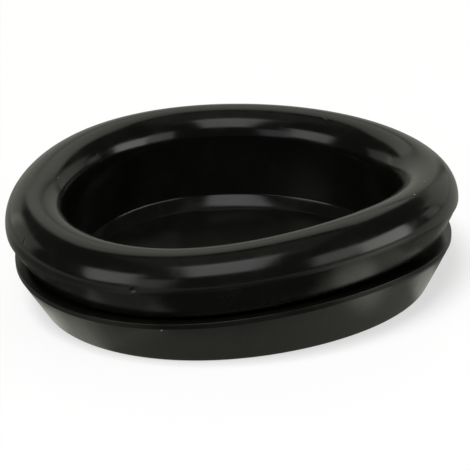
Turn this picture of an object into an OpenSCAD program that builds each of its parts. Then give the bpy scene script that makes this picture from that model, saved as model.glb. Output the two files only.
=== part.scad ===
// Closed grommet, one moulding in black rubber.
// A rolled bead sits above the panel, a groove grips the edge of the panel's hole,
// and a tapered lip squeezes through it. A thin floor closes the well inside.
// Millimetres, +Z up, origin at the middle of the flat underside.

/* [Panel] */
// diameter of the panel hole that the neck fills
hole_d = 34; // [24:0.5:60]
// thickness of the panel that the groove takes
panel_t = 0.9; // [0.5:0.1:2.5]

/* [Overall] */
// height from the flat underside to the crown of the bead
total_h = 11; // [9:0.25:18]

/* [Bead] */
// how far the bead reaches out past the hole
bead_over = 3; // [2:0.1:5]
// wall of the neck, between the hole and the well
wall_t = 2.5; // [1.5:0.1:4]
// depth of the bead from its parting line down to the seat
under_h = 2.55; // [2:0.05:3]
// how far the flank stands back just below the parting line
parting_step = 0.06; // [0.02:0.02:0.12]
// width of the flat seat that presses on the panel
seat_w = 1; // [0.5:0.1:1.5]
// rounding of the corner between the seat and the flank
corner_r = 1; // [0.4:0.1:1.4]

/* [Lip] */
// how far the lip reaches out past the hole
lip_over = 2.45; // [1.2:0.05:3]
// height of the upright rim round the lip
rim_h = 0.45; // [0.3:0.05:1.5]
// rounding along the top edge of the rim
rim_r = 0.25; // [0.05:0.05:0.3]
// how far the lip tapers in on its way down to the underside
taper_in = 2.4; // [0.5:0.1:4]
// rounding where the taper meets the underside
base_r = 0.4; // [0.1:0.1:1.2]
// fillet in the two inner corners of the groove
root_r = 0.2; // [0.05:0.05:0.25]

/* [Well] */
// thickness of the floor that closes the grommet
floor_t = 1.6; // [0.8:0.1:3]
// radius of the cove between the floor and the wall
cove_r = 2.8; // [1.4:0.1:5]
// height of the cove, up to the crease in the wall
cove_h = 1.2; // [0.6:0.1:2.8]

/* [Hidden] */
$fn = 96;
rubber = [0.05, 0.05, 0.05];
// straight lines end a hair inside the round they run into, so one clean edge joins them
hair = 0.9995;
// distances from the axis, inside to outside
neck_x = hole_d / 2;
wall_x = neck_x - wall_t;
bead_r = (wall_t + bead_over) / 2;
bead_x = wall_x + bead_r;
flank_x = neck_x + bead_over - parting_step;
corner_x = neck_x + seat_w;
lip_x = neck_x + lip_over;
base_x = lip_x - taper_in;
cove_x = wall_x - sqrt(pow(cove_r, 2) - pow(cove_r - cove_h, 2));
// levels, top to bottom
bead_z = total_h - bead_r;
seat_z = bead_z - under_h;
corner_z = seat_z + corner_r;
lip_z = seat_z - panel_t;
rim_z = lip_z - rim_h;
cove_z = floor_t + cove_r;
// turn of the point where the flank leaves the round of its corner
flank_turn = atan2(bead_z - corner_z, flank_x - corner_x)
    - acos(corner_r / norm([flank_x - corner_x, bead_z - corner_z]));
// slope of the taper, and the middle of the round that meets it and the underside
slope = atan(taper_in / rim_z);
round_x = base_x - base_r * tan((90 - slope) / 2);

// a rectangle of the section, from one corner to the opposite one
module block(x1, z1, x2, z2) {
    translate([x1, z1]) square([x2 - x1, z2 - z1]);
}

// a round of the section about a given point
module disc(x, z, r) {
    translate([x, z]) circle(r = r);
}

// the rolled bead: full round above the parting line, and below it a steep flank that
// starts a step further in and turns round a soft corner into the flat seat
module bead_section() {
    intersection() {
        disc(bead_x, bead_z, bead_r);
        block(wall_x, bead_z, bead_x + bead_r, total_h);
    }
    polygon([
        [0, seat_z],
        [corner_x, seat_z],
        [corner_x + hair * corner_r * cos(flank_turn), corner_z + hair * corner_r * sin(flank_turn)],
        [flank_x, bead_z],
        [0, bead_z]
    ]);
    disc(corner_x, corner_z, corner_r);
}

// the neck in the panel's hole, solid to the axis, with a fillet in each groove corner
module neck_section() {
    block(0, lip_z, neck_x, seat_z);
    difference() {
        block(neck_x, lip_z, neck_x + root_r, seat_z);
        block(neck_x, lip_z + root_r, neck_x + root_r, seat_z - root_r);
        disc(neck_x + root_r, lip_z + root_r, root_r);
        disc(neck_x + root_r, seat_z - root_r, root_r);
    }
}

// the lip: flat top, rounded rim, taper and rounded bottom edge, solid to the axis
module lip_section() {
    block(0, rim_z, lip_x - rim_r, lip_z);
    block(lip_x - rim_r, rim_z, lip_x, lip_z - rim_r);
    disc(lip_x - rim_r, lip_z - rim_r, rim_r);
    polygon([
        [0, 0],
        [round_x, 0],
        [round_x + hair * base_r * cos(slope), base_r - hair * base_r * sin(slope)],
        [lip_x, rim_z],
        [0, rim_z]
    ]);
    disc(round_x, base_r, base_r);
}

// the space of the well: upright wall, crease where the cove cuts it, and flat floor
module well_section() {
    block(0, cove_z, wall_x, total_h);
    block(0, floor_t, cove_x, cove_z);
    intersection() {
        disc(cove_x, cove_z, cove_r);
        block(0, floor_t, wall_x, cove_z);
    }
}

module grommet() {
    color(rubber) rotate_extrude() difference() {
        union() {
            bead_section();
            neck_section();
            lip_section();
        }
        well_section();
    }
}

grommet();
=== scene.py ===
import math
import bpy
import numpy as np
from mathutils import Matrix, Vector


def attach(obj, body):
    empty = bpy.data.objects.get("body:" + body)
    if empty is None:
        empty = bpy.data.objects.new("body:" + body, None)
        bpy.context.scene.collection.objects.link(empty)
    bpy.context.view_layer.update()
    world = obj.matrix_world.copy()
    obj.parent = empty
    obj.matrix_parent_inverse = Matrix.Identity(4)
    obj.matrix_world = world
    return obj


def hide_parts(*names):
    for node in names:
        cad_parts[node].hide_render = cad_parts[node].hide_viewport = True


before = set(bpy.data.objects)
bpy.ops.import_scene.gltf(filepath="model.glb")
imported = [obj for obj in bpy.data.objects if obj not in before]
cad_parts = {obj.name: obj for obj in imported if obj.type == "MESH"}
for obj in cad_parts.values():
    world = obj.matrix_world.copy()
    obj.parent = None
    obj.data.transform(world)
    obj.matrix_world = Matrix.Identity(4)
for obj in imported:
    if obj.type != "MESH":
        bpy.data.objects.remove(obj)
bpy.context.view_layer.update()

mm = 0.001


def linear(hexColour):
    # sRGB hex to the linear values that Blender works with
    parts = [int(hexColour[i:i + 2], 16) / 255 for i in (1, 3, 5)]
    return [c / 12.92 if c <= 0.04045 else ((c + 0.055) / 1.055) ** 2.4 for c in parts] + [1.0]


def addNode(tree, kind, settings=None, links=None):
    # one node, its settings by name, and its links as {input: (node, output)}
    node = tree.nodes.new(kind)
    for name, value in (settings or {}).items():
        if isinstance(name, int) or name in node.inputs:
            node.inputs[name].default_value = value
        else:
            setattr(node, name, value)
    for name, (source, output) in (links or {}).items():
        tree.links.new(source.outputs[output], node.inputs[name])
    return node


def newMaterial(name):
    material = bpy.data.materials.new(name)
    material.use_nodes = True
    material.node_tree.nodes.clear()
    return material, material.node_tree


def startMesh(name):
    # a new mesh object with one vertex at the origin, open in edit mode
    bpy.ops.object.select_all(action="DESELECT")
    bpy.ops.mesh.primitive_plane_add(size=1 * mm)
    piece = bpy.context.object
    piece.name = piece.data.name = name
    bpy.ops.object.mode_set(mode="EDIT")
    bpy.ops.mesh.select_mode(type="VERT")
    bpy.ops.mesh.select_all(action="SELECT")
    bpy.ops.mesh.merge(type="CENTER")
    return piece


def straight(dx, dz, pieces=1):
    # a straight of the section from the last point, in mm, in so many pieces
    move = (dx * mm / pieces, 0, dz * mm / pieces)
    for i in range(pieces):
        bpy.ops.mesh.extrude_region_move(TRANSFORM_OT_translate={"value": move})


def arc(cx, cz, degrees, steps):
    # an arc of the section round (cx, cz) from the last point, anticlockwise if positive
    bpy.ops.mesh.spin(steps=steps, angle=math.radians(degrees), center=(cx * mm, 0, cz * mm), axis=(0, 1, 0))


# sizes in mm
grommet = {
    "neckR": 17.0,             # groove's root
    "wallR": 14.5,             # well's wall
    "baseR": 17.05,            # lip's cone where it would meet the underside
    "baseRound": 0.4,
    "lipR": 19.45,
    "rimZ": 4.35,              # lower edge of the lip's rim
    "lipZ": 4.8,               # lip's top, groove's lower side
    "rimRound": 0.07,
    "rootRound": 0.2,
    "seatZ": 5.7,              # bead's underside, groove's upper side
    "cornerR": 18.45,          # middle of the bead's rounded lower corner
    "cornerRound": 0.5,
    "flankR": 16.0,            # curve of the bead's lower flank
    "beadX": 17.25,            # bead's middle
    "beadZ": 8.25,             # parting line's height
    "beadR": 2.75,
    "partingStep": 0.05,
    "floorZ": 1.6,             # well's floor
    "creaseZ": 2.8,            # where the wall meets the cove
    "creaseRound": 0.5,
    "coveR": 4.8,              # slack upper part of the cove
    "coveTurn": (56.5, 43.0),  # its steepness at the crease and where the tight part begins, degrees
    "turns": 256,              # steps round the axis
    "sharp": 28,               # turn of the surface that still shades smooth, degrees
}


def drawLip(g):
    # right half of the section, from the middle of the underside out and up to the groove's root
    slope = math.atan2(g["lipR"] - g["baseR"], g["rimZ"])
    startX = g["baseR"] - g["baseRound"] * math.tan((math.pi / 2 - slope) / 2)
    straight(startX, 0, 8)
    arc(startX, g["baseRound"], 90 - math.degrees(slope), 6)
    x = startX + g["baseRound"] * math.cos(slope)
    z = g["baseRound"] * (1 - math.sin(slope))
    straight(g["lipR"] - x, g["rimZ"] - z, 10)
    straight(0, g["lipZ"] - g["rimRound"] - g["rimZ"])
    arc(g["lipR"] - g["rimRound"], g["lipZ"] - g["rimRound"], 90, 6)
    straight(g["neckR"] + g["rootRound"] - g["lipR"] + g["rimRound"], 0, 4)
    arc(g["neckR"] + g["rootRound"], g["lipZ"] + g["rootRound"], -90, 4)
    straight(0, g["seatZ"] - g["lipZ"] - 2 * g["rootRound"], 2)


def drawBead(g):
    # out along the seat, round its corner, up a slack flank to the parting line and over the crown
    arc(g["neckR"] + g["rootRound"], g["seatZ"] - g["rootRound"], -90, 4)
    straight(g["cornerR"] - g["neckR"] - g["rootRound"], 0, 3)
    cornerX, cornerZ = g["cornerR"], g["seatZ"] + g["cornerRound"]
    endX = g["beadX"] + g["beadR"] - g["partingStep"]
    turn = 60.0
    for i in range(6):
        # the corner's turn and the flank's own bend depend on each other, so they are closed in on
        a = math.radians(turn - 90)
        x, z = cornerX + g["cornerRound"] * math.cos(a), cornerZ + g["cornerRound"] * math.sin(a)
        chord = math.hypot(endX - x, g["beadZ"] - z)
        half = math.asin(chord / 2 / g["flankR"])
        turn = 90 - math.degrees(math.atan2(endX - x, g["beadZ"] - z) + half)
    arc(cornerX, cornerZ, turn, 8)
    arc(x - g["flankR"] * math.cos(a), z - g["flankR"] * math.sin(a), math.degrees(2 * half), 14)
    straight(g["partingStep"], 0)
    arc(g["beadX"], g["beadZ"], 180, 56)


def drawWell(g):
    # down the wall, over the crease, the slack and the tight part of the cove, and in to the middle
    start, end = (math.radians(a) for a in g["coveTurn"])
    soft = g["creaseRound"]
    z = g["creaseZ"] + soft * math.tan((math.pi / 2 - start) / 2)
    straight(0, z - g["beadZ"], 10)
    arc(g["wallR"] - soft, z, math.degrees(start) - 90, 4)
    x = g["wallR"] - soft * (1 - math.sin(start)) - g["coveR"] * math.sin(start)
    z = z + (g["coveR"] - soft) * math.cos(start)
    arc(x, z, math.degrees(end - start), 6)
    x, z = x + g["coveR"] * math.sin(end), z - g["coveR"] * math.cos(end)
    tightR = (z - g["floorZ"]) / (1 - math.cos(end))
    arc(x - tightR * math.sin(end), g["floorZ"] + tightR, -math.degrees(end), 10)
    straight(tightR * math.sin(end) - x, 0, 12)


# the soft ring has taken a set; each row is a mean, then cosine and sine of 1, 2, 3 ... turns
slack = {
    # bead up, and lip up against the bead, mm
    "lift": (-0.277, -0.003, 0.446, -0.094, -0.379, -0.252, -0.041, -0.037, 0.016),
    "squeeze": (0.217, -0.062, -0.442, -0.047, 0.017),
    # bead turned outwards, degrees
    "roll": (0, 2.1, -0.3, -3.6, -2.2),
    # out of round at the bead and at the underside, part of the radius
    "oval": (0, 0, 0, 0.0136, 0.0132, 0.0154, -0.0024, -0.0038, 0.0110),
    "baseOval": (0, 0, 0, 0.0328, 0.0230, 0.0141, -0.0028),
    "leanY": 0.07,            # bead aside, mm
    "seatFade": (17.3, 0.7),  # under the bead the roll starts at this radius and is full after this width, mm
    "crownFade": 70.0,        # and on top it starts at the crown and is full after this turn, degrees
}


def swing(row, phi):
    turns = range(1, (len(row) + 1) // 2)
    return row[0] + sum(row[2 * n - 1] * np.cos(n * phi) + row[2 * n] * np.sin(n * phi) for n in turns)


def settle(piece, g, s):
    co = np.empty(len(piece.data.vertices) * 3)
    piece.data.vertices.foreach_get("co", co)
    # the shape as moulded, for the material to follow
    piece.data.attributes.new("asMoulded", "FLOAT_VECTOR", "POINT").data.foreach_set("vector", co)
    x, y, z = co.reshape(-1, 3).T / mm
    phi, r = np.arctan2(y, x), np.hypot(x, y)
    # roll the bead about its middle, less and less towards the crown and the seat's inner end
    u, w = r - g["beadX"], z - g["beadZ"]
    rho, a = np.hypot(u, w), np.degrees(np.arctan2(w, u))
    share = np.where(a < 0, (r - s["seatFade"][0]) / s["seatFade"][1], (90 - a) / s["crownFade"])
    onBead = (z >= g["seatZ"] - 1e-5) & (u > 0)
    a = np.radians(a + swing(s["roll"], phi) * np.clip(share, 0, 1))
    r = np.where(onBead, g["beadX"] + rho * np.cos(a), r)
    z = np.where(onBead, g["beadZ"] + rho * np.sin(a), z)
    # lift it, squeeze the lip and leave the underside flat
    high = np.clip(z / g["rimZ"], 0, 1)
    onLip = 1 - np.clip((z - g["lipZ"]) / (g["seatZ"] - g["lipZ"]), 0, 1)
    rise = swing(s["lift"], phi) + onLip * swing(s["squeeze"], phi)
    z = z + rise * high * np.minimum(1, r / g["wallR"]) ** 2
    r = r * (1 + high * swing(s["oval"], phi) + (1 - high) * swing(s["baseOval"], phi))
    co = np.stack([r * np.cos(phi), r * np.sin(phi) + s["leanY"] * high, z], -1) * mm
    piece.data.vertices.foreach_set("co", co.ravel())
    piece.data.update()


def makeGrommet(g, s):
    piece = startMesh("mouldedGrommet")
    drawLip(g)
    drawBead(g)
    drawWell(g)
    bpy.ops.mesh.select_all(action="SELECT")
    bpy.ops.mesh.spin(steps=g["turns"], angle=2 * math.pi, center=(0, 0, 0), axis=(0, 0, 1))
    bpy.ops.mesh.select_all(action="SELECT")
    bpy.ops.mesh.remove_doubles(threshold=2e-6)
    bpy.ops.mesh.normals_make_consistent(inside=False)
    bpy.ops.object.mode_set(mode="OBJECT")
    settle(piece, g, s)
    bpy.ops.object.shade_smooth_by_angle(angle=math.radians(g["sharp"]))
    return piece


rubber = {
    "body": ("#0a0b09", "#0e0f0c"),   # clean and hazed
    "gloss": 0.14,                    # roughness of the polished bead
    "haze": 0.07,                     # added where the haze is thickest
    "under": 0.08,                    # added below the parting line, from the less polished half of the mould
    "satin": 0.24,                    # lip's cone
    "uneven": 0.16,                   # added in the cone's streaks
    "top": -0.10,                     # added on the lip's top, smoother than its cone
    "matt": 0.34,                     # well's floor
    "streak": 0.45,                   # spacing of the cone's upright streaks, mm
    "upright": 0.12,                  # change along a streak, where 1 is as quick as across it
    "mottle": 2.5,                    # size of the hazed patches, mm
    "hazy": (0.42, 0.68),             # noise at which the haze begins and is full
    "grain": 0.35,                    # mould's own grain, mm, drawn coarser than real so that it shows
    "grainShare": (0.4, 0.8),         # its height above and below the parting line
    "grainRelief": (0.25, 0.01),      # strength, and height in mm
    "streakRelief": (0.35, 0.02),
    "dust": "#8a8a80",
    # place and half sizes in mm, turn and tilt of the long side in degrees, height in mm
    # (a dent is negative) and how dusty
    "marks": (
        ((-7.96, -18.30, 7.52), (0.52, 0.32, 0.32), (-24, -24), -0.06, 0),  # nick at the parting line
        ((9.56, 12.73, 10.65), (1.35, 0.20, 0.24), (-58, 16), 0.02, 0),     # flow line over the bead, above
        ((10.78, 10.82, 9.85), (1.30, 0.20, 0.24), (-56, 22), 0.02, 0),     # and below
        ((-12.21, 7.93, 9.50), (0.80, 0.26, 0.26), (147, -68), -0.015, 0),  # notch in the bead's inner side
        ((-17.35, -10.40, 8.75), (0.55, 0.20, 0.20), (31, -57), -0.03, 0),  # dent on the bead's near left
        ((-5.96, -18.30, 3.85), (0.13, 0.13, 0.13), (0, 0), 0.02, 1),       # specks of dust
        ((15.48, -8.49, 10.74), (0.14, 0.14, 0.14), (0, 0), 0.02, 1),
        ((-15.37, 0.73, 10.28), (0.12, 0.12, 0.12), (0, 0), 0.02, 0.7),
        ((16.80, -5.02, 10.55), (0.12, 0.12, 0.12), (0, 0), 0.02, 0.7),
    ),
}


def mouldedRubber(g, r):
    # black EPDM rubber, compression moulded: polished bead, satin lip with fine upright streaks,
    # matt floor, and a faint bloom in patches
    material, tree = newMaterial("mouldedBlackRubber")
    place = addNode(tree, "ShaderNodeTexCoord")
    moulded = addNode(tree, "ShaderNodeAttribute", {"attribute_name": "asMoulded"})
    parts = addNode(tree, "ShaderNodeSeparateXYZ", {}, {"Vector": (moulded, "Vector")})
    flat = addNode(tree, "ShaderNodeVectorMath", {"operation": "MULTIPLY", 1: (1, 1, 0)}, {
        0: (moulded, "Vector"),
    })
    away = addNode(tree, "ShaderNodeVectorMath", {"operation": "LENGTH"}, {0: (flat, "Vector")})
    # masks, each 1 on its part: the lip, all that is below the parting line, and the well's floor
    outside = addNode(tree, "ShaderNodeMath", {"operation": "GREATER_THAN", 1: (g["wallR"] + 1) * mm}, {
        0: (away, "Value"),
    })
    below = addNode(tree, "ShaderNodeMapRange", {
        "From Min": (g["lipZ"] + 0.1) * mm, "From Max": (g["seatZ"] - 0.3) * mm, "To Min": 1.0, "To Max": 0.0,
    }, {"Value": (parts, "Z")})
    lip = addNode(tree, "ShaderNodeMath", {"operation": "MULTIPLY"}, {
        0: (below, "Result"), 1: (outside, "Value"),
    })
    low = addNode(tree, "ShaderNodeMath", {"operation": "LESS_THAN", 1: g["beadZ"] * mm}, {0: (parts, "Z")})
    under = addNode(tree, "ShaderNodeMath", {"operation": "MULTIPLY"}, {
        0: (low, "Value"), 1: (outside, "Value"),
    })
    inside = addNode(tree, "ShaderNodeMath", {"operation": "LESS_THAN", 1: (g["wallR"] - 1.2) * mm}, {
        0: (away, "Value"),
    })
    # and the lip's top, which comes with its own change of roughness
    top = addNode(tree, "ShaderNodeMapRange", {
        "interpolation_type": "SMOOTHSTEP", "From Min": (g["lipZ"] - 0.06) * mm, "From Max": g["lipZ"] * mm,
        "To Max": r["top"],
    }, {"Value": (parts, "Z")})
    # upright streaks: noise on the direction from the axis, so that it runs straight up the cone
    direction = addNode(tree, "ShaderNodeVectorMath", {"operation": "NORMALIZE"}, {0: (flat, "Vector")})
    ring = addNode(tree, "ShaderNodeVectorMath", {"operation": "SCALE", "Scale": g["lipR"] * mm}, {
        0: (direction, "Vector"),
    })
    rise = addNode(tree, "ShaderNodeVectorMath", {"operation": "MULTIPLY_ADD", 1: (0, 0, r["upright"])}, {
        0: (moulded, "Vector"), 2: (ring, "Vector"),
    })
    streaks = addNode(tree, "ShaderNodeTexNoise", {
        "Scale": 1 / (r["streak"] * mm), "Detail": 2.0, "Roughness": 0.6,
    }, {"Vector": (rise, "Vector")})
    # bloom in soft patches, and the grain
    mottle = addNode(tree, "ShaderNodeTexNoise", {
        "Scale": 1 / (r["mottle"] * mm), "Detail": 4.0, "Roughness": 0.62,
    }, {"Vector": (place, "Object")})
    haze = addNode(tree, "ShaderNodeMapRange", {
        "interpolation_type": "SMOOTHSTEP", "From Min": r["hazy"][0], "From Max": r["hazy"][1],
    }, {"Value": (mottle, "Fac")})
    grain = addNode(tree, "ShaderNodeTexNoise", {"Scale": 1 / (r["grain"] * mm), "Detail": 3.0}, {
        "Vector": (place, "Object"),
    })
    # roughness
    plain = addNode(tree, "ShaderNodeMath", {"operation": "MULTIPLY_ADD", 1: r["haze"], 2: r["gloss"]}, {
        0: (haze, "Result"),
    })
    polished = addNode(tree, "ShaderNodeMath", {"operation": "MULTIPLY_ADD", 1: r["under"]}, {
        0: (under, "Value"), 2: (plain, "Value"),
    })
    streaked = addNode(tree, "ShaderNodeMath", {"operation": "MULTIPLY_ADD", 1: r["uneven"], 2: r["satin"]}, {
        0: (streaks, "Fac"),
    })
    worn = addNode(tree, "ShaderNodeMath", {"operation": "ADD"}, {0: (streaked, "Value"), 1: (top, "Result")})
    onLip = addNode(tree, "ShaderNodeMix", {}, {
        "Factor": (lip, "Value"), "A": (polished, "Value"), "B": (worn, "Value"),
    })
    rough = addNode(tree, "ShaderNodeMix", {"B": r["matt"]}, {
        "Factor": (inside, "Value"), "A": (onLip, "Result"),
    })
    # marks: each is a soft ellipsoid on the surface, which lifts or dents it and may be dusty
    nothing = addNode(tree, "ShaderNodeValue")
    nothing.outputs[0].default_value = 0.0
    height = dust = nothing
    for at, half, (turn, tilt), lift, dusty in r["marks"]:
        local = addNode(tree, "ShaderNodeMapping", {
            "vector_type": "TEXTURE", "Location": [v * mm for v in at], "Scale": [v * mm for v in half],
            "Rotation": (0, math.radians(tilt), math.radians(turn)),
        }, {"Vector": (place, "Object")})
        reach = addNode(tree, "ShaderNodeVectorMath", {"operation": "LENGTH"}, {0: (local, "Vector")})
        shape = addNode(tree, "ShaderNodeMapRange", {
            "interpolation_type": "SMOOTHSTEP", "From Min": 0.0, "From Max": 1.0,
            "To Min": 1.0, "To Max": 0.0,
        }, {"Value": (reach, "Value")})
        height = addNode(tree, "ShaderNodeMath", {"operation": "MULTIPLY_ADD", 1: lift * mm}, {
            0: (shape, "Result"), 2: (height, "Value"),
        })
        if dusty:
            dust = addNode(tree, "ShaderNodeMath", {"operation": "MULTIPLY_ADD", 1: dusty}, {
                0: (shape, "Result"), 2: (dust, "Value"),
            })
    # colour
    bloom = addNode(tree, "ShaderNodeMix", {
        "data_type": "RGBA", 6: linear(r["body"][0]), 7: linear(r["body"][1]),
    }, {"Factor": (haze, "Result")})
    tone = addNode(tree, "ShaderNodeMix", {"data_type": "RGBA", 7: linear(r["dust"])}, {
        "Factor": (dust, "Value"), 6: (bloom, 2),
    })
    # relief: the grain, then the streaks, then the marks
    grainShare = addNode(tree, "ShaderNodeMapRange", {
        "To Min": r["grainShare"][0], "To Max": r["grainShare"][1],
    }, {"Value": (under, "Value")})
    grainHeight = addNode(tree, "ShaderNodeMath", {"operation": "MULTIPLY"}, {
        0: (grain, "Fac"), 1: (grainShare, "Result"),
    })
    grainBump = addNode(tree, "ShaderNodeBump", {
        "Strength": r["grainRelief"][0], "Distance": r["grainRelief"][1] * mm,
    }, {"Height": (grainHeight, "Value")})
    streakHeight = addNode(tree, "ShaderNodeMath", {"operation": "MULTIPLY"}, {
        0: (streaks, "Fac"), 1: (lip, "Value"),
    })
    streakBump = addNode(tree, "ShaderNodeBump", {
        "Strength": r["streakRelief"][0], "Distance": r["streakRelief"][1] * mm,
    }, {"Height": (streakHeight, "Value"), "Normal": (grainBump, "Normal")})
    bump = addNode(tree, "ShaderNodeBump", {"Strength": 1.0, "Distance": 1.0}, {
        "Height": (height, "Value"), "Normal": (streakBump, "Normal"),
    })
    shader = addNode(tree, "ShaderNodeBsdfPrincipled", {"IOR": 1.52}, {
        "Base Color": (tone, 2), "Roughness": (rough, "Result"), "Normal": (bump, "Normal"),
    })
    addNode(tree, "ShaderNodeOutputMaterial", {}, {"Surface": (shader, "BSDF")})
    return material


def addDisc(name, material, drop):
    # a wide round sheet, so many mm below the underside
    bpy.ops.object.select_all(action="DESELECT")
    bpy.ops.mesh.primitive_circle_add(vertices=96, radius=2.0, fill_type="NGON", location=(0, 0, -drop * mm))
    disc = bpy.context.object
    disc.name = name
    disc.data.materials.append(material)
    return disc


room = {
    "whiteShare": 0.62,     # part of the floor that the camera sees as plain white
    "dim": 0.035,           # the room's own light, where white is 1
    "fill": 2.35,           # strength of the wide fill from the front
    "fillTurn": (27, -25),  # its tilt from upright and its turn, degrees
    "fillSpread": 24,       # and its width, degrees
}


def addFloor(r):
    # white card: part of what the camera sees is plain white, the rest keeps the shadow
    material, tree = newMaterial("whiteCardFloor")
    light = addNode(tree, "ShaderNodeLightPath")
    card = addNode(tree, "ShaderNodeBsdfPrincipled", {
        "Base Color": linear("#ffffff"), "Roughness": 0.9, "Specular IOR Level": 0.0,
    })
    white = addNode(tree, "ShaderNodeEmission", {"Color": (1, 1, 1, 1), "Strength": 1.0})
    seen = addNode(tree, "ShaderNodeMath", {"operation": "MAXIMUM"}, {
        0: (light, "Is Camera Ray"), 1: (light, "Is Transmission Ray"),
    })
    share = addNode(tree, "ShaderNodeMath", {"operation": "MULTIPLY", 1: r["whiteShare"]}, {
        0: (seen, "Value"),
    })
    upper = addNode(tree, "ShaderNodeMixShader", {}, {
        0: (share, "Value"), 1: (card, "BSDF"), 2: (white, "Emission"),
    })
    # clear from below, so that the underside can be looked at
    side = addNode(tree, "ShaderNodeNewGeometry")
    below = addNode(tree, "ShaderNodeMath", {"operation": "MULTIPLY"}, {
        0: (side, "Backfacing"), 1: (light, "Is Camera Ray"),
    })
    clear = addNode(tree, "ShaderNodeBsdfTransparent")
    both = addNode(tree, "ShaderNodeMixShader", {}, {
        0: (below, "Value"), 1: (upper, "Shader"), 2: (clear, "BSDF"),
    })
    addNode(tree, "ShaderNodeOutputMaterial", {}, {"Surface": (both, "Shader")})
    floor = addDisc("floor", material, drop=0.02)
    floor.visible_glossy = False


# direction in degrees (0 is the camera's side, + is right), height angle and distance in metres, all from the
# bead; half sizes as parts of the distance, turn in degrees, brightness where white is 1, and tint
softboxes = {
    "softboxLeft": {
        "az": -55, "el": 22, "distance": 0.42, "half": (0.245, 0.33),
        "turn": 10, "level": 1.5, "tint": "#fffffc",
    },
    "softboxFront": {
        "az": -7.7, "el": 55, "distance": 0.42, "half": (0.295, 0.40),
        "turn": 5, "level": 1.45, "tint": "#ffffff",
    },
    "softboxLeftDim": {
        "az": -34, "el": 14, "distance": 0.46, "half": (0.15, 0.27),
        "turn": 0, "level": 0.58, "tint": "#ffffff",
    },
    "softboxRight": {
        "az": 80, "el": 13, "distance": 0.42, "half": (0.345, 0.28),
        "turn": -8, "level": 2.2, "tint": "#fffffb",
    },
    "softboxRightDim": {
        "az": 50, "el": 19, "distance": 0.46, "half": (0.25, 0.29),
        "turn": -8, "level": 1.05, "tint": "#fffffb",
    },
    "doorway": {
        "az": 118, "el": 9, "distance": 0.46, "half": (0.11, 0.15),
        "turn": 0, "level": 0.45, "tint": "#fffff4",
    },
    "backPanel": {
        "az": 180, "el": 43, "distance": 0.42, "half": (0.50, 0.33),
        "turn": 0, "level": 0.58, "tint": "#fdfff0",
    },
    "backWall": {
        "az": 192, "el": 12, "distance": 0.6, "half": (0.80, 0.28),
        "turn": 0, "level": 0.40, "tint": "#fdfff0",
    },
    "sideWallLeft": {
        "az": -122, "el": 14, "distance": 0.6, "half": (0.34, 0.28),
        "turn": 0, "level": 0.38, "tint": "#fdfff0",
    },
    "sideWallRight": {
        "az": 140, "el": 12, "distance": 0.6, "half": (0.29, 0.24),
        "turn": 0, "level": 0.34, "tint": "#fdfff0",
    },
    "ceiling": {
        "az": 0, "el": 88, "distance": 0.6, "half": (0.50, 0.50),
        "turn": 0, "level": 0.12, "tint": "#fdfff0",
    },
}
aimHeight = 8     # height of the bead that the lamps look at, mm
edgeShare = 0.15  # part of a lamp's width over which its cloth fades out, on each side


def addSoftbox(name, box):
    distance = box["distance"]
    az, el = math.radians(box["az"]), math.radians(box["el"])
    aim = Vector((math.cos(el) * math.sin(az), -math.cos(el) * math.cos(az), math.sin(el)))
    bpy.ops.object.light_add(type="AREA", location=aim * distance + Vector((0, 0, aimHeight * mm)))
    lamp = bpy.context.object
    lamp.name = name
    turn = Matrix.Rotation(math.radians(box["turn"]), 3, "Z").to_quaternion()
    lamp.rotation_euler = (aim.to_track_quat("Z", "Y") @ turn).to_euler()
    lamp.data.shape = "RECTANGLE"
    lamp.data.size, lamp.data.size_y = 2 * distance * box["half"][0], 2 * distance * box["half"][1]
    lamp.data.energy = math.pi * lamp.data.size * lamp.data.size_y * box["level"]
    lamp.data.color = linear(box["tint"])[:3]
    lamp.visible_camera = False
    # cloth front, bright in the middle and fading at its edges
    lamp.data.use_nodes = True
    tree = lamp.data.node_tree
    tree.nodes.clear()
    front = addNode(tree, "ShaderNodeNewGeometry")
    cloth = addNode(tree, "ShaderNodeSeparateXYZ", {}, {"Vector": (front, "Parametric")})
    fades = []
    for axis in ("X", "Y"):
        offset = addNode(tree, "ShaderNodeMath", {"operation": "SUBTRACT", 1: 0.5}, {0: (cloth, axis)})
        away = addNode(tree, "ShaderNodeMath", {"operation": "ABSOLUTE"}, {0: (offset, "Value")})
        fades.append(addNode(tree, "ShaderNodeMapRange", {
            "interpolation_type": "SMOOTHSTEP", "From Min": 0.5 - edgeShare, "From Max": 0.5,
            "To Min": 1.0, "To Max": 0.0,
        }, {"Value": (away, "Value")}))
    both = addNode(tree, "ShaderNodeMath", {"operation": "MULTIPLY"}, {
        0: (fades[0], "Result"), 1: (fades[1], "Result"),
    })
    glow = addNode(tree, "ShaderNodeEmission", {}, {"Strength": (both, "Value")})
    addNode(tree, "ShaderNodeOutputLight", {}, {"Surface": (glow, "Emission")})


def addFill(r):
    # wide fill from the front that evens out the floor, throws the shadow behind the piece and leaves
    # no highlight
    tilt, turn = (math.radians(angle) for angle in r["fillTurn"])
    bpy.ops.object.light_add(type="SUN", rotation=(tilt, 0, turn))
    lamp = bpy.context.object
    lamp.name = "frontFill"
    lamp.data.energy = r["fill"]
    lamp.data.angle = math.radians(r["fillSpread"])
    lamp.visible_glossy = False


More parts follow.
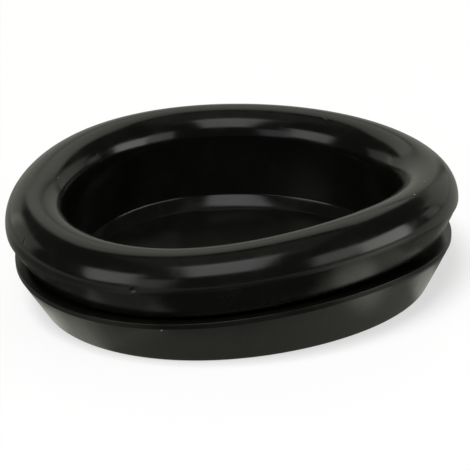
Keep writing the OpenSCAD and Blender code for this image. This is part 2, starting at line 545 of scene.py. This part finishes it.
# painted reflection: a glowing disc that only the gloss sees, with painted light and shade
paintedReflection = {
    "tint": "#fdfff0",
    "level": 0.33,  # painted reflection: the brightness the gloss mirrors from the disc, where white is 1
    # soft round patches of painted light and shade over it, each over the last: middle and radii in mm, new
    # level
    "patches": (
        ((-50, -12), (12, 42), 0.12),            # shade to the left
        ((75, -40), (20, 45), 1.0),              # light from the right
        ((5, -95), (30, 62), 0.06),              # dark on the camera's side
        ((2.5, -42), (23.4, 25.4), 0.02),
        ((3, -40), (9, 15), 0.15),
        ((-13.5, -20), (3.5, 5.5), 0.14),
        ((3.5, 0), (18.8, 19.8), 0.24),          # round the lip
        ((15.3, -15.8), (1.8, 4.6), 0.85),
        ((-1.5, -9), (10.1, 11.1), 0.24),
        ((32.6, -5), (11.2, 12.4), 0.14),        # to its right
        ((18.2, -4.5), (1.5, 4.0), 0.75),
        ((-12.3, -8.7), (4.2, 6.0), 0.6),        # and to its left
        ((-14.3, -5), (2.4, 6.3), 1.2),
        ((-18.6, -13.4), (2.2, 3.4), 0.06),
        ((-21.4, -9), (2.9, 4.0), 0.05),
        ((-22.3, -3), (2.0, 3.6), 0.05),
        ((0, 0), (15.4, 16.8), 0.24),            # even under the grommet
    ),
}


def addPaintedReflection(t):
    # glowing disc just under the floor that only the gloss sees and that is no lamp: a painted reflection,
    # its patches painted light and shade for the gloss to mirror, standing in for the dim, uneven table of a
    # small studio
    material, tree = newMaterial("paintedReflection")
    place = addNode(tree, "ShaderNodeTexCoord")
    level, output = addNode(tree, "ShaderNodeValue"), "Value"
    level.outputs[0].default_value = t["level"]
    for (x, y), (inner, outer), value in t["patches"]:
        away = addNode(tree, "ShaderNodeVectorMath", {"operation": "DISTANCE", 1: (x * mm, y * mm, 0)}, {
            0: (place, "Object"),
        })
        soft = addNode(tree, "ShaderNodeMapRange", {
            "interpolation_type": "SMOOTHSTEP", "From Min": inner * mm, "From Max": outer * mm,
            "To Min": 1.0, "To Max": 0.0,
        }, {"Value": (away, "Value")})
        mixed = addNode(tree, "ShaderNodeMix", {"B": value}, {
            "Factor": (soft, "Result"), "A": (level, output),
        })
        level, output = mixed, "Result"
    shader = addNode(tree, "ShaderNodeEmission", {"Color": linear(t["tint"])}, {"Strength": (level, output)})
    addNode(tree, "ShaderNodeOutputMaterial", {}, {"Surface": (shader, "Emission")})
    disc = addDisc("paintedReflection", material, drop=0.1)
    disc.visible_camera = disc.visible_diffuse = disc.visible_shadow = disc.visible_transmission = False


def addWorld(r):
    world = bpy.data.worlds.new("dimStudio")
    bpy.context.scene.world = world
    world.use_nodes = True
    tree = world.node_tree
    tree.nodes.clear()
    # white to the camera and a dim room to everything else
    light = addNode(tree, "ShaderNodeLightPath")
    seen = addNode(tree, "ShaderNodeMath", {"operation": "MAXIMUM"}, {
        0: (light, "Is Camera Ray"), 1: (light, "Is Transmission Ray"),
    })
    strength = addNode(tree, "ShaderNodeMapRange", {"To Min": r["dim"], "To Max": 1.0}, {
        "Value": (seen, "Value"),
    })
    back = addNode(tree, "ShaderNodeBackground", {"Color": (1, 1, 1, 1)}, {"Strength": (strength, "Result")})
    addNode(tree, "ShaderNodeOutputWorld", {}, {"Surface": (back, "Background")})


standpoint = {
    "az": -0.118, "el": 22.456, "roll": 2.431,       # degrees
    "distance": 136.03, "target": (0.266, 0, 4.25),  # mm
    "sensor": 36, "lens": 114.452,
    "clip": (0.01, 10),                              # metres
}


def addCamera(c):
    az, el, roll = (math.radians(c[name]) for name in ("az", "el", "roll"))
    side = Vector((math.cos(az), math.sin(az), 0))
    ahead = Vector((-math.sin(az), math.cos(az), 0))
    up = ahead * math.sin(el) + Vector((0, 0, math.cos(el)))
    look = ahead * math.cos(el) - Vector((0, 0, math.sin(el)))
    x = side * math.cos(roll) - up * math.sin(roll)
    y = side * math.sin(roll) + up * math.cos(roll)
    bpy.ops.object.camera_add()
    camera = bpy.context.object
    spot = Vector(c["target"]) * mm - look * (c["distance"] * mm)
    camera.matrix_world = Matrix.Translation(spot) @ Matrix((x, y, -look)).transposed().to_4x4()
    camera.data.sensor_width, camera.data.lens = c["sensor"], c["lens"]
    camera.data.clip_start, camera.data.clip_end = c["clip"]
    bpy.context.scene.camera = camera


piece = makeGrommet(grommet, slack)
piece.data.materials.append(mouldedRubber(grommet, rubber))
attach(piece, "root")
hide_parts("grommet")
print("grommet", len(piece.data.polygons), "faces")
addFloor(room)
for name, box in softboxes.items():
    addSoftbox(name, box)
addFill(room)
# painted reflection: glowing disc that only the gloss mirrors
addPaintedReflection(paintedReflection)
print("floor,", len(softboxes), "softboxes, fill and table tone")
addWorld(room)
addCamera(standpoint)
bpy.context.scene.view_settings.view_transform = "Standard"
print("room and camera")
